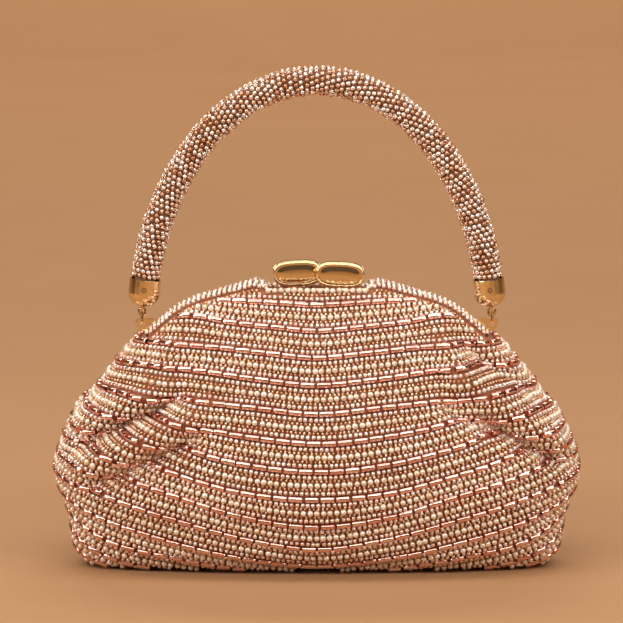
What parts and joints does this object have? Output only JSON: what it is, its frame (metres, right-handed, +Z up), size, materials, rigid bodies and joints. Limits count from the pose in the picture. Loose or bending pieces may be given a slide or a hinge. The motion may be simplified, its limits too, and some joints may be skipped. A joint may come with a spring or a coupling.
{
  "type": "evening bag",
  "caption": "Dome-topped beaded evening bag with a kiss-lock frame that opens forward and a stiff beaded arch handle swinging on two jump rings.",
  "frame": {"origin": "middle of the flat base, on the surface the bag stands on", "axes": "+Z up, -Y towards the front of the bag, +X along its width"},
  "size_m": [0.2408, 0.094, 0.2302],
  "materials": {
    "beaded_cloth": "cloth fully embroidered with rose bugle beads, cream pearls and clear seed beads",
    "handle_beads": "cloth tube covered with clear silver-lined seed beads",
    "lining_satin": "satin",
    "gold": "polished gold plate",
    "steel": "plain",
    "board": "matte",
    "handle_rod": "matte"
  },
  "bodies": {
    "bag": {"front_panel": "beaded_cloth", "back_panel": "beaded_cloth", "left_gusset": "beaded_cloth", "right_gusset": "beaded_cloth", "base_panel": "beaded_cloth", "lining_cup": "lining_satin", "back_lining_yoke": "lining_satin", "slip_pocket": "lining_satin", "left_hinge_rivet": "gold", "right_hinge_rivet": "gold", "back_clasp_plate": "gold", "left_handle_lug": "gold", "right_handle_lug": "gold", "left_lug_rivet": "gold", "right_lug_rivet": "gold", "back_frame": "steel", "back_clasp_stem": "steel", "base_board": "board"},
    "front_frame": {"front_frame": "steel", "front_clasp_plate": "gold", "front_clasp_stem": "steel", "front_yoke": "beaded_cloth", "front_lining_yoke": "lining_satin"},
    "left_ring": {"left_jump_ring": "gold"},
    "right_ring": {"right_jump_ring": "gold"},
    "handle": {"handle_core": "handle_rod", "handle_sleeve": "handle_beads", "left_end_cap": "gold", "right_end_cap": "gold", "left_cap_eye": "gold", "right_cap_eye": "gold", "left_grub_screw": "steel", "right_grub_screw": "steel"}
  },
  "joints": [
    {"name": "frame_open", "type": "hinge", "parent": "bag", "child": "front_frame", "pos_m": [0, 0, 0.1045], "axis": [1, 0, 0], "range_deg": [0, 50], "deforming": ["front_yoke", "front_lining_yoke"]},
    {"name": "left_ring_swing", "type": "hinge", "parent": "bag", "child": "left_ring", "pos_m": [-0.0804, 0, 0.1138], "axis": [1, 0, 0], "range_deg": [-40, 40]},
    {"name": "right_ring_swing", "type": "hinge", "parent": "bag", "child": "right_ring", "pos_m": [0.0804, 0, 0.1138], "axis": [1, 0, 0], "range_deg": [-40, 40]},
    {"name": "handle_swing", "type": "hinge", "parent": "left_ring", "child": "handle", "pos_m": [-0.0804, 0, 0.1158], "axis": [1, 0, 0], "range_deg": [-42, 42]}
  ],
  "couplings": [
    {"joint": "right_ring_swing", "follows": "left_ring_swing", "ratio": 1}
  ]
}
